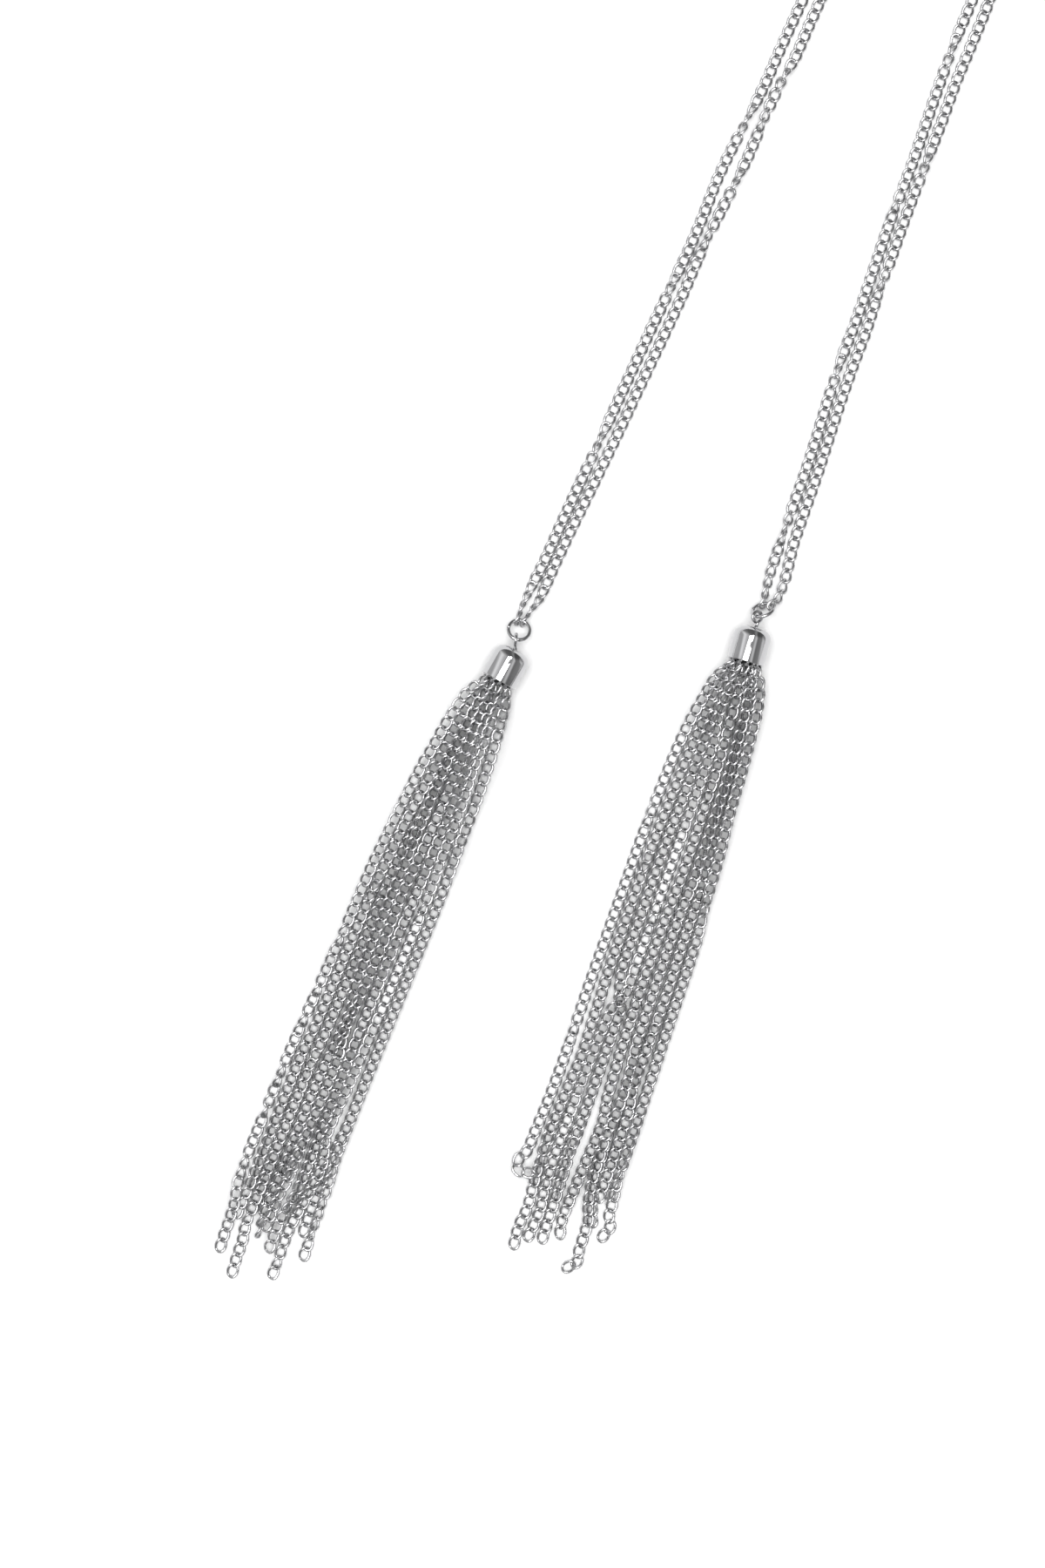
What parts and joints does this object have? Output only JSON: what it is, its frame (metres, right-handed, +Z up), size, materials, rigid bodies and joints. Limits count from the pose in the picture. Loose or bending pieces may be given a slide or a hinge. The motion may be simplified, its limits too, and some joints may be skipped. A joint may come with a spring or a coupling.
{
  "type": "lariat necklace",
  "caption": "Long silver-tone lariat necklace: a double curb chain round the neck, each end with a jump ring, a polished bell cap and a tassel of loose chain strands.",
  "frame": {"origin": "on the surface that the necklace lies on, under the middle of its outline", "axes": "+Y along the legs towards the neck loop, tassels towards -Y; +Z up from the surface; X across"},
  "size_m": [0.1394, 0.5914, 0.008],
  "materials": {
    "curb_chain": "polished silver-tone curb links",
    "ring_wire": "polished silver-tone round wire",
    "bell_cap": "mirror-polished silver-tone sheet",
    "tassel_chain": "polished silver-tone curb links"
  },
  "bodies": {
    "root": {"chain_outer": "curb_chain", "chain_inner": "curb_chain", "jump_ring_left": "ring_wire", "jump_ring_right": "ring_wire", "eye_pin_left": "ring_wire", "eye_pin_right": "ring_wire", "bell_cap_left": "bell_cap", "bell_cap_right": "bell_cap", "tassel_left": "tassel_chain", "tassel_right": "tassel_chain"}
  },
  "joints": []
}
